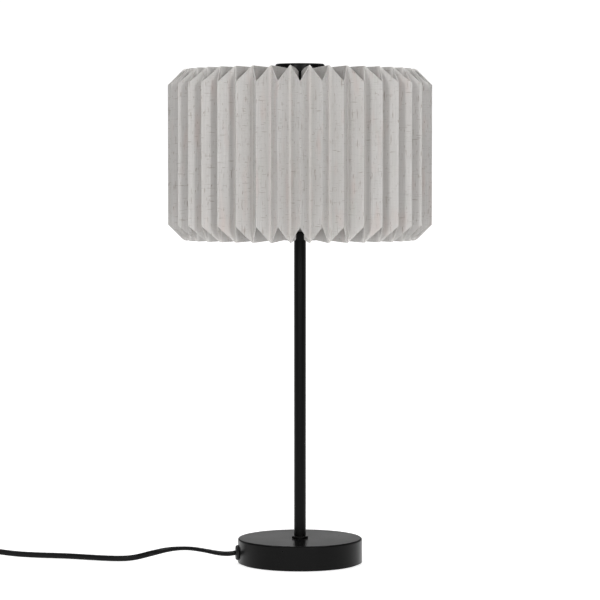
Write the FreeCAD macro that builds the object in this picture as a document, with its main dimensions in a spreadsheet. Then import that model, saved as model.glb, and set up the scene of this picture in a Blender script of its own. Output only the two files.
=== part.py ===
import FreeCAD, Part
import math
import os
import re
import Sketcher
from FreeCAD import Placement, Rotation, Vector

# A table lamp with a pleated paper drum shade on a slim pole and a round weighted base.
# Frame: +Z up, the pole on the Z axis, z = 0 on the table. The room side looks at -Y, and the
# lead leaves the base on the -X side. Everything is in millimetres.

doc = FreeCAD.newDocument("PleatedTableLamp")
sizes = doc.addObject("Spreadsheet::Sheet", "Sizes")
levels = doc.addObject("Spreadsheet::Sheet", "Levels")
words = {}

DRIVING = [
    # base
    ("base_diameter", 125.0), ("base_height", 25.0), ("base_wall", 1.5), ("base_top_wall", 2.0),
    ("base_edge_round", 1.6), ("skirt_gap", 1.0), ("pad_thickness", 2.0), ("pad_inset", 1.0),
    ("plate_thickness", 1.2), ("plate_gap", 0.3), ("weight_gap", 0.6), ("weight_thickness", 17.6),
    ("weight_bore_radius", 17.0), ("plate_screw_radius", 44.0), ("plate_screw_turn", 60.0),
    # lead entry
    ("gland_turn", 7.0), ("gland_height", 11.0), ("gland_head_radius", 7.6), ("gland_head_depth", 2.6),
    ("gland_barrel_radius", 4.7), ("gland_barrel_length", 8.0), ("gland_nut_radius", 7.0),
    ("gland_nut_thickness", 2.6), ("fit_gap", 0.1), ("slot_width", 9.0),
    ("clamp_distance", 34.0), ("clamp_width", 26.0), ("clamp_depth", 8.0), ("clamp_thickness", 2.0),
    ("clamp_screw_spacing", 17.0), ("lead_width", 5.8), ("inner_lead_diameter", 5.0),
    ("inner_bend_radius", 9.0), ("inner_lead_top", 5.0),
    # fasteners
    ("screw_radius", 1.5), ("screw_head_radius", 2.8), ("screw_head_height", 2.0),
    ("nut_across_flats", 14.0), ("nut_thickness", 4.0), ("washer_radius", 9.0),
    ("washer_thickness", 1.0), ("rod_overhang", 0.5), ("rod_radius", 5.0), ("rod_bore_radius", 3.7),
    ("rod_engagement", 8.0), ("screw_gap", 0.3),
    # pole
    ("pole_radius", 6.0), ("pole_bore_radius", 5.2), ("pole_length", 304.0), ("collar_radius", 8.2),
    ("collar_thickness", 2.0), ("neck_radius", 5.7), ("neck_height", 1.2),
    # cups over and under the shade
    ("cup_radius", 24.5), ("cup_height", 8.8), ("cup_wall", 1.2), ("cup_round", 1.6),
    ("cap_height", 7.8),
    # lamp holder
    ("dome_neck_radius", 8.0), ("dome_neck_height", 6.0), ("dome_height", 20.6), ("holder_radius", 19.5),
    ("holder_wall", 1.5), ("sleeve_height", 30.0), ("seat_radius", 22.5), ("seat_height", 6.2),
    ("seat_thickness", 2.2), ("block_height", 6.0), ("block_rise", 3.0), ("block_gap", 0.5),
    ("socket_radius", 13.55), ("socket_wall", 0.5), ("socket_depth", 24.0), ("contact_rise", 3.0),
    ("contact_thickness", 0.5), ("contact_width", 7.0), ("contact_length", 20.0),
    ("shade_ring_radius", 25.4), ("shade_ring_height", 6.0), ("ring_gap", 0.1), ("shade_ring_lobes", 12.0),
    # carrier
    ("carrier_height", 115.8), ("carrier_plate_radius", 30.0), ("carrier_plate_thickness", 2.0),
    ("wire_diameter", 3.0), ("wire_reach", 38.0), ("wire_bend", 9.0), ("carrier_wires", 4.0),
    ("saddle_radius", 12.0), ("saddle_thickness", 2.0), ("spigot_radius", 5.0), ("spigot_height", 10.0),
    # shade
    ("lift_gap", 0.3), ("lift_clearance", 0.08), ("hub_flange_radius", 21.0),
    ("hub_flange_thickness", 2.0), ("hub_radius", 7.6), ("hub_height", 18.5), ("cap_screw_head", 4.2),
    ("cap_screw_depth", 7.0), ("cap_screw_radius", 2.0), ("paper_gap", 0.1), ("rim_step", 2.2),
    ("shade_height", 170.0), ("ridge_radius", 132.1), ("valley_radius", 116.1), ("pleats", 39.0), ("paper_strips", 3.0),
    ("paper_thickness", 0.4), ("fin_inner_radius", 16.0), ("cavity_radius", 54.0),
    ("cavity_corner", 8.0), ("fin_foot_rise", 1.8), ("fin_foot_radius", 84.0), ("fin_top_radius", 57.0),
    ("fin_top_drop", 0.5), ("chamfer_height", 16.2), ("envelope_margin", 1.0),
    # bulb
    ("bulb_cap_radius", 13.1), ("bulb_cap_height", 21.0), ("bulb_tip_radius", 4.6),
    ("bulb_tip_height", 3.4), ("bulb_tip_gap", 0.4), ("bulb_collar_radius", 19.0),
    ("bulb_collar_height", 14.0), ("bulb_radius", 22.5), ("bulb_wall", 1.0),
    # switch on the lead
    ("switch_x", -352.0), ("switch_y", 34.0), ("switch_length", 62.0), ("switch_width", 27.0),
    ("switch_half_height", 8.0), ("switch_wall", 1.8), ("switch_round", 9.0), ("switch_edge_round", 3.0),
    ("switch_screw_reach", 21.0), ("rocker_radius", 8.6), ("rocker_width", 11.0), ("rocker_pivot", 10.5),
    ("rocker_end_height", 7.2), ("rocker_middle_height", 6.0), ("rocker_depth", 2.6),
    ("rocker_side_gap", 0.45), ("rocker_tilt", 7.0), ("pin_radius", 1.0), ("pin_clearance", 0.05),
    ("ear_thickness", 1.6), ("ear_radius", 3.0),
    # coil
    ("coil_x", -385.0), ("coil_y", -31.0), ("coil_outer_radius", 42.5), ("coil_turns", 6.0),
    ("coil_pitch", 6.3), ("coil_rest_height", 4.2), ("tie_width", 8.0), ("tie_thickness", 1.0),
    ("tie_gap", 0.25),
    # plug
    ("plug_y", -94.0), ("plug_length", 30.0), ("plug_width", 35.0), ("plug_thickness", 13.6),
    ("plug_boot_length", 24.0), ("plug_boot_radius", 5.0), ("plug_nose_width", 26.0),
    ("plug_edge_round", 2.4), ("plug_pin_radius", 2.0), ("plug_pin_length", 19.0),
    ("plug_pin_spacing", 18.6), ("plug_pin_root", 8.0), ("plug_pin_root_radius", 1.6),
]

WORKED_OUT = [
    ("shell_ceiling", "base_height - base_top_wall"),
    ("plate_bottom", "pad_thickness"),
    ("plate_top", "plate_bottom + plate_thickness"),
    ("weight_bottom", "shell_ceiling - weight_thickness"),
    ("shell_bore_radius", "base_diameter / 2 - base_wall"),
    ("weight_radius", "shell_bore_radius - weight_gap"),
    ("nut_top", "shell_ceiling - washer_thickness"),
    ("nut_bottom", "nut_top - nut_thickness"),
    ("rod_bottom", "nut_bottom - rod_overhang"),
    ("slot_ceiling", "gland_height + inner_lead_diameter / 2 + fit_gap"),
    ("clamp_top", "gland_height - inner_lead_diameter / 2"),
    ("lead_exit", "base_diameter / 2 + gland_head_depth"),
    ("collar_top", "base_height + collar_thickness"),
    ("pole_bottom", "collar_top + neck_height"),
    ("cup_ceiling", "pole_bottom + pole_length"),
    ("cup_top", "cup_ceiling + cup_wall"),
    ("holder_bottom", "cup_top + nut_thickness"),
    ("rod_top", "holder_bottom + rod_engagement"),
    ("dome_top", "holder_bottom + dome_height"),
    ("sleeve_top", "dome_top + sleeve_height"),
    ("block_top", "dome_top + block_rise"),
    ("block_bottom", "block_top - block_height"),
    ("ring_seat", "dome_top + seat_height"),
    ("plate_upper", "ring_seat + carrier_plate_thickness"),
    ("carrier_top", "ring_seat + carrier_height"),
    ("hub_seat", "carrier_top + lift_gap"),
    ("bridge_bottom", "hub_seat + hub_flange_thickness + paper_gap"),
    ("cap_ceiling", "hub_seat + hub_height"),
    ("cap_top", "cap_ceiling + cup_wall"),
    ("cap_rim", "cap_top - cap_height"),
    ("paper_top", "cap_rim + rim_step"),
    ("paper_bottom", "paper_top - shade_height"),
    ("bulb_tip_bottom", "block_top + contact_rise + contact_thickness + bulb_tip_gap"),
    ("bulb_cap_bottom", "bulb_tip_bottom + bulb_tip_height"),
    ("bulb_cap_top", "bulb_cap_bottom + bulb_cap_height"),
    ("bulb_collar_top", "bulb_cap_top + bulb_collar_height"),
    ("switch_top", "2 * switch_half_height"),
    ("coil_upper", "coil_rest_height + coil_pitch"),
    ("plug_middle", "plug_thickness / 2"),
]

for row, (word, number) in enumerate(DRIVING, 1):
    sizes.set(f"A{row}", word)
    sizes.set(f"B{row}", str(number))
    sizes.setAlias(f"B{row}", word)
    words[word] = "Sizes." + word


def bound(text):
    """The expression with each size's own name written in full."""
    return re.sub(r"[a-z_]+[a-z]", lambda found: words.get(found.group(), found.group()), text)


for row, (word, formula) in enumerate(WORKED_OUT, 1):
    levels.set(f"A{row}", word)
    full = re.sub(r"Levels\.([a-z_]+)", r"\1", bound(formula))
    levels.set(f"B{row}", "=" + full)
    levels.setAlias(f"B{row}", word)
    words[word] = "Levels." + word
doc.recompute()


def mm(word):
    """A size or level as a number."""
    sheet, name = words[word].split(".")
    return float(getattr(levels if sheet == "Levels" else sizes, name))


def bind(thing, bindings):
    for where, text in bindings.items():
        thing.setExpression(where, bound(text))
    return thing


def at(x="0", y="0", z="0"):
    return {"Placement.Base.x": x, "Placement.Base.y": y, "Placement.Base.z": z}


def cylinder(name, radius, height, **place):
    made = doc.addObject("Part::Cylinder", name)
    return bind(made, {"Radius": radius, "Height": height, **at(**place)})


def block(name, length, width, height, **place):
    """A box centred on its place in X and Y, standing on it in Z."""
    made = doc.addObject("Part::Box", name)
    spot = at(**place)
    spot["Placement.Base.x"] += f" - ({length}) / 2"
    spot["Placement.Base.y"] += f" - ({width}) / 2"
    return bind(made, {"Length": length, "Width": width, "Height": height, **spot})


def along(name, radius, length, direction, **place):
    """A cylinder whose axis lies along a fixed direction."""
    made = cylinder(name, radius, length, **place)
    made.Placement = Placement(made.Placement.Base, Rotation(Vector(0, 0, 1), Vector(*direction)))
    return made


def cut(name, base, *tools):
    tool = tools[0] if len(tools) == 1 else fuse(name + "_tools", *tools)
    made = doc.addObject("Part::Cut", name)
    made.Base, made.Tool = base, tool
    return made


def fuse(name, *pieces):
    made = doc.addObject("Part::MultiFuse", name)
    made.Shapes = list(pieces)
    return made


def common(name, base, tool):
    made = doc.addObject("Part::Common", name)
    made.Base, made.Tool = base, tool
    return made


def group(name, pieces):
    """Separate solids that share a node."""
    made = doc.addObject("Part::Compound", name)
    made.Links = list(pieces)
    return made


def about_axis(name, piece, angle):
    """The piece turned about the Z axis by a bound angle."""
    made = group(name, [piece])
    return bind(made, {"Placement.Rotation.Angle": angle})


def ring(name, outer, inner, height, **place):
    return cut(name, cylinder(name + "_outside", outer, height, **place),
               cylinder(name + "_bore", inner, height, **place))


def turned(name, outline, rounds=()):
    """A body turned about the Z axis from a closed outline of (radius, height) expressions.
    rounds gives the corners, by number, whose edges are rounded, with the radius."""
    body = doc.addObject("PartDesign::Body", name)
    sketch = body.newObject("Sketcher::SketchObject", name + "_outline")
    plane = next(f for f in body.Origin.OriginFeatures if f.Role == "XZ_Plane")
    sketch.AttachmentSupport = [(plane, "")]
    sketch.MapMode = "FlatFace"
    rough = [Vector(10 + 5 * math.cos(a), 10 - 5 * math.sin(a), 0)
             for a in (2 * math.pi * i / len(outline) for i in range(len(outline)))]
    for i, corner in enumerate(rough):
        sketch.addGeometry(Part.LineSegment(corner, rough[(i + 1) % len(rough)]), False)
    for i in range(len(rough)):
        following = (i + 1) % len(rough)
        sketch.addConstraint(Sketcher.Constraint("Coincident", i, 2, following, 1))
    for i, (radius, height) in enumerate(outline):
        for kind, text in (("DistanceX", radius), ("DistanceY", height)):
            if text == "0":
                axis = -2 if kind == "DistanceX" else -1
                sketch.addConstraint(Sketcher.Constraint("PointOnObject", i, 1, axis))
                continue
            number = sketch.addConstraint(Sketcher.Constraint(kind, -1, 1, i, 1, 10.0))
            sketch.setExpression(f"Constraints[{number}]", bound(text))
    turn = body.newObject("PartDesign::Revolution", name + "_turn")
    turn.Profile = sketch
    turn.ReferenceAxis = (sketch, ["V_Axis"])
    turn.Angle = 360.0
    doc.recompute()
    for count, (corner, radius) in enumerate(rounds):
        made = body.Tip
        spot = Vector(*(sketch.getPoint(corner, 1)))
        edges = [f"Edge{i}" for i, e in enumerate(made.Shape.Edges, 1)
                 if isinstance(e.Curve, Part.Circle) and abs(e.Curve.Radius - spot.x) < 1e-4
                 and abs(e.Curve.Center.z - spot.y) < 1e-4]
        rounding = body.newObject("PartDesign::Fillet", f"{name}_round{count}")
        rounding.Base = (made, edges)
        bind(rounding, {"Radius": radius})
        doc.recompute()
    return body


nodes = []


def publish(label, piece):
    """The piece is a sub-part of the lamp: its label names its node and its file."""
    piece.Label = label
    nodes.append(piece)
    return piece


def solid(label, shape):
    """A sub-part whose shape is worked out from the sheet in code."""
    made = doc.addObject("Part::Feature", label)
    made.Shape = shape
    return publish(label, made)


# ---------------------------------------------------------------- base

shell_cup = turned("shell_cup", [
    ("0", "base_height"), ("base_diameter / 2", "base_height"), ("base_diameter / 2", "skirt_gap"),
    ("shell_bore_radius", "skirt_gap"), ("shell_bore_radius", "shell_ceiling"),
    ("0", "shell_ceiling")], rounds=[(1, "base_edge_round")])
gland_hole = about_axis("gland_hole", along(
    "gland_hole_bore", "gland_barrel_radius + fit_gap", "base_diameter / 2", (-1, 0, 0),
    z="gland_height"), "gland_turn")
publish("base_shell", cut("base_shell", shell_cup, gland_hole, cylinder(
    "shell_rod_hole", "rod_radius + fit_gap", "base_height")))

publish("foot_pad", cylinder("foot_pad", "shell_bore_radius - pad_inset", "pad_thickness"))
screw_spots = [(f"plate_screw_radius * cos({angle} + plate_screw_turn)",
                f"plate_screw_radius * sin({angle} + plate_screw_turn)") for angle in (0, 120, 240)]


def sunk_head(name, margin, x, y):
    """The cone of a countersunk head, its wide end flush with the underside of the plate."""
    cone = doc.addObject("Part::Cone", name)
    return bind(cone, {"Radius1": f"screw_head_radius + {margin}", "Radius2": f"screw_radius + {margin}",
                       "Height": "plate_thickness", **at(x=x, y=y, z="plate_bottom")})


plate_holes = [sunk_head(f"plate_hole{i}", "fit_gap", x, y) for i, (x, y) in enumerate(screw_spots)]
publish("base_plate", cut("base_plate", cylinder(
    "plate_disc", "shell_bore_radius - plate_gap", "plate_thickness", z="plate_bottom"), *plate_holes))

slot = block("lead_slot", "weight_radius + fit_gap", "slot_width", "slot_ceiling",
             x="-(weight_radius + fit_gap) / 2")
nut_room = block("gland_nut_room", "gland_barrel_length + 2", "2 * gland_nut_radius + 2",
                 "gland_height + gland_nut_radius + 1", x="-(base_diameter - gland_barrel_length) / 2")
clamp_room = block("clamp_room", "clamp_depth + 1", "clamp_width + 1", "clamp_top",
                   x="-clamp_distance")
clamp_spots = [f"{side} * clamp_screw_spacing / 2" for side in (-1, 1)]
clamp_holes = [cylinder(f"clamp_hole{i}", "screw_radius + fit_gap", "gland_height + 6",
                        x="-clamp_distance", y=y) for i, y in enumerate(clamp_spots)]
lead_way = about_axis("lead_way", fuse("lead_way_rooms", slot, nut_room, clamp_room, *clamp_holes),
                      "gland_turn")
screw_holes = [cylinder(f"weight_hole{i}", "screw_radius + fit_gap", "weight_bottom + 9", x=x, y=y)
               for i, (x, y) in enumerate(screw_spots)]
publish("base_weight", cut(
    "base_weight",
    ring("weight_ring", "weight_radius", "weight_bore_radius", "weight_thickness - fit_gap",
         z="weight_bottom"), lead_way, *screw_holes))


def screw(name, length, x, y, z, up=True):
    """A pan-head screw: its head stands below z and its shank above, or the other way up."""
    head_z = f"{z} - screw_head_height" if up else z
    shank_z = z if up else f"{z} - ({length})"
    return fuse(name, cylinder(name + "_head", "screw_head_radius", "screw_head_height", x=x, y=y, z=head_z),
                cylinder(name + "_shank", "screw_radius", length, x=x, y=y, z=shank_z))


plate_screws = []
for i, (x, y) in enumerate(screw_spots):
    shank = cylinder(f"plate_screw_shank{i}", "screw_radius", "weight_bottom + 8 - plate_bottom",
                     x=x, y=y, z="plate_bottom")
    plate_screws.append(fuse(f"plate_screw{i}", sunk_head(f"plate_screw_head{i}", "0", x, y), shank))
publish("plate_screws", group("plate_screws", plate_screws))

# lead entry
head = common("gland_dome", along("gland_head", "gland_head_radius", "gland_head_depth", (-1, 0, 0),
                                  x="-base_diameter / 2", z="gland_height"),
              bind(doc.addObject("Part::Ellipsoid", "gland_ball"), {
                  "Radius1": "gland_head_radius + 0.2", "Radius2": "gland_head_depth * 1.7",
                  "Radius3": "gland_head_radius + 0.2",
                  **at(x="-base_diameter / 2", z="gland_height")}))
barrel = along("gland_barrel", "gland_barrel_radius", "gland_barrel_length", (1, 0, 0),
               x="-base_diameter / 2", z="gland_height")
lead_bore = along("gland_lead_bore", "inner_lead_diameter / 2 + fit_gap", "gland_barrel_length * 3",
                  (1, 0, 0), x="-lead_exit - gland_barrel_length", z="gland_height")
publish("cord_gland", bind(cut("cord_gland", fuse("gland_body", head, barrel), lead_bore),
                           {"Placement.Rotation.Angle": "gland_turn"}))
gland_nut = cut("gland_nut",
                along("gland_nut_outside", "gland_nut_radius", "gland_nut_thickness", (1, 0, 0),
                      x="-shell_bore_radius + 0.6", z="gland_height"),
                along("gland_nut_bore", "gland_barrel_radius + fit_gap", "gland_nut_thickness", (1, 0, 0),
                      x="-shell_bore_radius + 0.6", z="gland_height"))
publish("gland_nut", bind(gland_nut, {"Placement.Rotation.Angle": "gland_turn"}))
saddle = cut("clamp_saddle",
             block("saddle_strip", "clamp_depth", "clamp_width", "clamp_thickness", x="-clamp_distance",
                   z="clamp_top - clamp_thickness"),
             *[cylinder(f"saddle_hole{i}", "screw_radius + screw_gap", "gland_height",
                        x="-clamp_distance", y=y) for i, y in enumerate(clamp_spots)])
publish("lead_clamp", bind(saddle, {"Placement.Rotation.Angle": "gland_turn"}))
clamp_screws = group("clamp_screws", [
    screw(f"clamp_screw{i}", "gland_height + 5 - clamp_top + clamp_thickness", "-clamp_distance", y,
          "clamp_top - clamp_thickness") for i, y in enumerate(clamp_spots)])
publish("clamp_screws", bind(clamp_screws, {"Placement.Rotation.Angle": "gland_turn"}))

# ---------------------------------------------------------------- pole and its fixings


def hexagon(name, across, height, z, bore):
    prism = doc.addObject("Part::Prism", name + "_hexagon")
    prism.Polygon = 6
    bind(prism, {"Circumradius": f"({across}) / 2 / cos(30)", "Height": height, **at(z=z)})
    return cut(name, prism, cylinder(name + "_thread", bore, height, z=z))


publish("rod_washer", ring("rod_washer", "washer_radius", "rod_radius + fit_gap", "washer_thickness",
                           z="nut_top"))
publish("rod_nut", hexagon("rod_nut", "nut_across_flats", "nut_thickness", "nut_bottom",
                           "rod_radius + fit_gap / 2"))
publish("pole_rod", ring("pole_rod", "rod_radius", "rod_bore_radius", "rod_top - rod_bottom",
                         z="rod_bottom"))
publish("pole_collar", turned("pole_collar", [
    ("rod_radius + fit_gap", "base_height"), ("collar_radius", "base_height"),
    ("collar_radius", "collar_top"), ("neck_radius", "collar_top"), ("neck_radius", "pole_bottom"),
    ("rod_radius + fit_gap", "pole_bottom")], rounds=[(2, "collar_thickness / 2")]))
publish("pole", ring("pole", "pole_radius", "pole_bore_radius", "pole_length", z="pole_bottom"))


def cup(name, top, height, hole):
    """A drawn steel cup, open below, rounded at its upper edge."""
    under = f"{top} - cup_wall"
    return turned(name, [
        (hole, top), ("cup_radius", top), ("cup_radius", f"{top} - {height}"),
        ("cup_radius - cup_wall", f"{top} - {height}"), ("cup_radius - cup_wall", under),
        (hole, under)], rounds=[(1, "cup_round")])


publish("lower_cup", cup("lower_cup", "cup_top", "cup_height", "rod_radius + fit_gap"))
publish("holder_locknut", hexagon("holder_locknut", "nut_across_flats", "nut_thickness", "cup_top",
                                  "rod_radius + fit_gap / 2"))

# ---------------------------------------------------------------- lamp holder

shoulder = "holder_bottom + dome_neck_height"
publish("holder_dome", turned("holder_dome", [
    ("rod_radius + fit_gap / 2", "holder_bottom"), ("dome_neck_radius", "holder_bottom"),
    ("dome_neck_radius", shoulder), ("holder_radius - 3", f"{shoulder} + 5"),
    ("holder_radius", f"{shoulder} + 10"), ("holder_radius", "dome_top"),
    ("holder_radius - holder_wall", "dome_top"), ("holder_radius - holder_wall", f"{shoulder} + 11"),
    ("holder_radius - 5", f"{shoulder} + 6.4"), ("rod_radius + 1", f"{shoulder} + 2.6"),
    ("rod_radius + fit_gap / 2", f"{shoulder} + 2.6")]))
block_body = cylinder("block_body", "holder_radius - holder_wall - block_gap", "block_height",
                      z="block_bottom")
core_holes = [cylinder(f"core_hole{i}", "1.3", "block_height", x=f"{side} * 5", z="block_bottom")
              for i, side in enumerate((-1, 1))]
publish("contact_block", cut("contact_block", block_body, *core_holes))
thread_turns = 5
sleeve_outline = [("holder_radius - holder_wall", "dome_top"), ("holder_radius", "dome_top"),
                  ("holder_radius", "ring_seat - seat_thickness"),
                  ("seat_radius", "ring_seat - seat_thickness"), ("seat_radius", "ring_seat")]
for number in range(thread_turns):
    foot = f"ring_seat + 3 * {number}"
    sleeve_outline += [("holder_radius", foot), ("holder_radius", f"{foot} + 1.6"),
                       ("holder_radius - 0.5", f"{foot} + 2.3")]
sleeve_outline += [("holder_radius", f"ring_seat + 3 * {thread_turns}"), ("holder_radius", "sleeve_top"),
                   ("holder_radius - holder_wall", "sleeve_top")]
publish("holder_sleeve", turned("holder_sleeve", sleeve_outline))
publish("socket_shell", ring("socket_shell", "socket_radius + socket_wall", "socket_radius",
                             "socket_depth", z="block_top"))
contact_strip = block("contact_strip", "contact_length", "contact_width", "contact_thickness",
                      z="block_top + contact_rise")
contact_leg = block("contact_leg", "contact_thickness", "contact_width", "contact_rise",
                    x="contact_length / 2 - contact_thickness / 2", z="block_top")
publish("centre_contact", fuse("centre_contact", contact_strip, contact_leg))
ring_body = ring("shade_ring_body", "shade_ring_radius", "holder_radius + ring_gap",
                 "shade_ring_height", z="plate_upper")
notches = []
for number in range(int(mm("shade_ring_lobes"))):
    angle = f"{number} * 360 / shade_ring_lobes"
    notches.append(cylinder(f"ring_notch{number}", "1.6", "shade_ring_height", z="plate_upper",
                            x=f"(shade_ring_radius + 0.5) * cos({angle})",
                            y=f"(shade_ring_radius + 0.5) * sin({angle})"))
publish("shade_ring", cut("shade_ring", ring_body, *notches))

# ---------------------------------------------------------------- carrier


def arc_wire(points, radius):
    """Straight runs through the points, joined by tangent arcs of one radius, as a wire."""
    edges = []
    start = points[0]
    for before, corner, after in zip(points, points[1:], points[2:]):
        arrive, leave = (corner - before).normalize(), (after - corner).normalize()
        half = arrive.getAngle(leave) / 2
        back = radius * math.tan(half)
        first, last = corner - arrive * back, corner + leave * back
        inward = (leave - arrive).normalize()
        middle = corner + inward * (radius / math.cos(half) - radius)
        edges += [Part.LineSegment(start, first).toShape(), Part.Arc(first, middle, last).toShape()]
        start = last
    edges.append(Part.LineSegment(start, points[-1]).toShape())
    return Part.Wire(edges)


def pipe(wire, radius):
    """A round solid tube that follows the wire."""
    first = wire.OrderedEdges[0]
    start = first.valueAt(first.FirstParameter)
    profile = Part.Wire(Part.makeCircle(radius, start, first.tangentAt(first.FirstParameter)))
    return wire.makePipeShell([profile], True, False)


wire_radius = mm("wire_diameter") / 2
wire_foot = mm("plate_upper") + wire_radius - 0.3
wire_crown = mm("carrier_top") - mm("saddle_thickness") - wire_radius + 0.3
wire_points = [Vector(mm("shade_ring_radius") + 2.2, 0, wire_foot), Vector(mm("wire_reach"), 0, wire_foot),
               Vector(mm("wire_reach"), 0, wire_crown), Vector(mm("spigot_radius"), 0, wire_crown)]
carrier_wire = pipe(arc_wire(wire_points, mm("wire_bend")), wire_radius)
carrier = Part.makeCylinder(mm("carrier_plate_radius"), mm("carrier_plate_thickness"),
                            Vector(0, 0, mm("ring_seat")))
carrier = carrier.cut(Part.makeCylinder(mm("holder_radius") + mm("ring_gap"), 10,
                                        Vector(0, 0, mm("ring_seat") - 4)))
carrier = carrier.fuse(Part.makeCylinder(mm("saddle_radius"), mm("saddle_thickness"),
                                         Vector(0, 0, mm("carrier_top") - mm("saddle_thickness"))))
for number in range(int(mm("carrier_wires"))):
    leg = carrier_wire.copy()
    leg.rotate(Vector(0, 0, 0), Vector(0, 0, 1), (number + 0.5) * 360 / mm("carrier_wires"))
    carrier = carrier.fuse(leg)
solid("shade_carrier", carrier)
publish("carrier_spigot", turned("carrier_spigot", [
    ("0", "carrier_top"), ("spigot_radius", "carrier_top"),
    ("spigot_radius", "carrier_top + spigot_height - 1.5"),
    ("spigot_radius - 1.5", "carrier_top + spigot_height"), ("0", "carrier_top + spigot_height")]))

# ---------------------------------------------------------------- shade

socket_radius = "spigot_radius + lift_clearance"
socket_top = "carrier_top + spigot_height + 0.6"
screw_foot = "cap_top - cap_screw_depth"
publish("shade_hub", turned("shade_hub", [
    (socket_radius, "hub_seat"), ("hub_flange_radius", "hub_seat"),
    ("hub_flange_radius", "hub_seat + hub_flange_thickness"),
    ("hub_radius", "hub_seat + hub_flange_thickness"), ("hub_radius", "cap_ceiling"),
    ("cap_screw_radius + fit_gap / 2", "cap_ceiling"),
    ("cap_screw_radius + fit_gap / 2", f"{screw_foot} - 0.5"), ("0", f"{screw_foot} - 0.5"),
    ("0", socket_top), (socket_radius, socket_top)]))
cap_hole = turned("cap_hole", [
    ("0", "cap_ceiling"), ("cap_screw_radius + fit_gap", "cap_ceiling"),
    ("cap_screw_head + fit_gap", "cap_top"), ("0", "cap_top")])
cap_cup = turned("cap_cup", [
    ("0", "cap_top"), ("cup_radius", "cap_top"), ("cup_radius", "cap_rim"),
    ("cup_radius - cup_wall", "cap_rim"), ("cup_radius - cup_wall", "cap_ceiling"),
    ("0", "cap_ceiling")], rounds=[(1, "cup_round")])
publish("top_cap", cut("top_cap", cap_cup, cap_hole))
publish("cap_screw", turned("cap_screw", [
    ("0", screw_foot), ("cap_screw_radius", screw_foot), ("cap_screw_radius", "cap_ceiling"),
    ("cap_screw_head", "cap_top"), ("0", "cap_top")]))


def meet(point, direction, other, heading):
    """Where two lines in the XY plane cross."""
    across = direction.x * heading.y - direction.y * heading.x
    gap = other - point
    return point + direction * ((gap.x * heading.y - gap.y * heading.x) / across)


def pleated_strip(first, last):
    """One strip of the pleated paper, as a comb: its outer wall zigzags from ridge to valley, and
    from each valley a fin of two sheets runs in towards the hub. The strip ends in single sheets,
    which lie against those of the next strips."""
    step = 2 * math.pi / mm("pleats")
    sheet, ridge, valley = mm("paper_thickness"), mm("ridge_radius"), mm("valley_radius")
    outside, inside = [], []
    for number in range(first, last + 1):
        turn = -math.pi / 2 + number * step
        out = Vector(math.cos(turn), math.sin(turn), 0)
        left, right = (Vector(math.cos(turn + side * step / 2), math.sin(turn + side * step / 2), 0)
                       for side in (-1, 1))
        if number == first:
            outside += [left * mm("fin_inner_radius"), left * valley]
        outside += [out * ridge, right * valley]
        if number == last:
            outside.append(right * mm("fin_inner_radius"))
        corners = []
        for fin in (left, right):
            roof = (out * ridge - fin * valley).normalize()
            under = Vector(-roof.y, roof.x, 0)
            under = under if under.dot(out) < 0 else -under
            inward = Vector(-fin.y, fin.x, 0)
            inward = inward if inward.dot(out) > 0 else -inward
            side_point = inward * sheet
            corners.append((side_point + fin * mm("fin_inner_radius"),
                            meet(side_point, fin, fin * valley + under * sheet, roof),
                            meet(Vector(0, 0, 0), out, fin * valley + under * sheet, roof)))
        (left_end, left_corner, peak), (right_end, right_corner, _) = corners
        inside += [left_end, left_corner, peak, right_corner, right_end]
    points = outside + list(reversed(inside))
    comb = Part.Face(Part.Wire(Part.makePolygon(points + points[:1])))
    comb.translate(Vector(0, 0, mm("paper_bottom")))
    return comb.extrude(Vector(0, 0, mm("shade_height")))


edge_radius = "ridge_radius + envelope_margin"
edge_drop = "chamfer_height * (ridge_radius + envelope_margin - valley_radius) / (ridge_radius - valley_radius)"
pinched = "cap_rim - paper_gap"
envelope = turned("shade_envelope", [
    ("fin_inner_radius - 1", "bridge_bottom"), ("cavity_radius - cavity_corner", "bridge_bottom"),
    ("cavity_radius", "bridge_bottom - cavity_corner"), ("cavity_radius", "paper_bottom + fin_foot_rise"),
    ("fin_foot_radius", "paper_bottom + fin_foot_rise"), ("valley_radius", "paper_bottom"),
    (edge_radius, f"paper_bottom + {edge_drop}"), (edge_radius, f"paper_top - {edge_drop}"),
    ("valley_radius", "paper_top"), ("fin_top_radius", "paper_top - fin_top_drop"),
    ("cup_radius + 2", pinched), ("fin_inner_radius - 1", pinched)])
pleats_each = int(mm("pleats") / mm("paper_strips"))
for number, side in enumerate(("front", "right", "left")):
    first = number * pleats_each - pleats_each // 2
    comb = doc.addObject("Part::Feature", f"comb_{side}")
    comb.Shape = pleated_strip(first, first + pleats_each - 1)
    publish(f"paper_{side}", common(f"paper_{side}", comb, envelope))

# ---------------------------------------------------------------- bulb

thread = []
for number in range(5):
    foot = f"bulb_cap_bottom + 2 + 3.6 * {number}"
    thread += [("bulb_cap_radius - 1", foot), ("bulb_cap_radius", f"{foot} + 1.3"),
               ("bulb_cap_radius", f"{foot} + 2.3")]
publish("bulb_screw_cap", turned("bulb_screw_cap", [
    ("0", "bulb_cap_bottom"), ("bulb_tip_radius + 3", "bulb_cap_bottom"),
    ("bulb_cap_radius - 1", "bulb_cap_bottom + 1")] + thread + [
    ("bulb_cap_radius - 1", "bulb_cap_top - 0.6"), ("bulb_cap_radius - 1", "bulb_cap_top"),
    ("0", "bulb_cap_top")]))
publish("bulb_tip", turned("bulb_tip", [
    ("0", "bulb_tip_bottom"), ("bulb_tip_radius - 1", "bulb_tip_bottom"),
    ("bulb_tip_radius", "bulb_tip_bottom + 0.8"), ("bulb_tip_radius", "bulb_cap_bottom - lift_gap"),
    ("0", "bulb_cap_bottom - lift_gap")]))
collar_foot = "bulb_cap_top"
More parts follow.
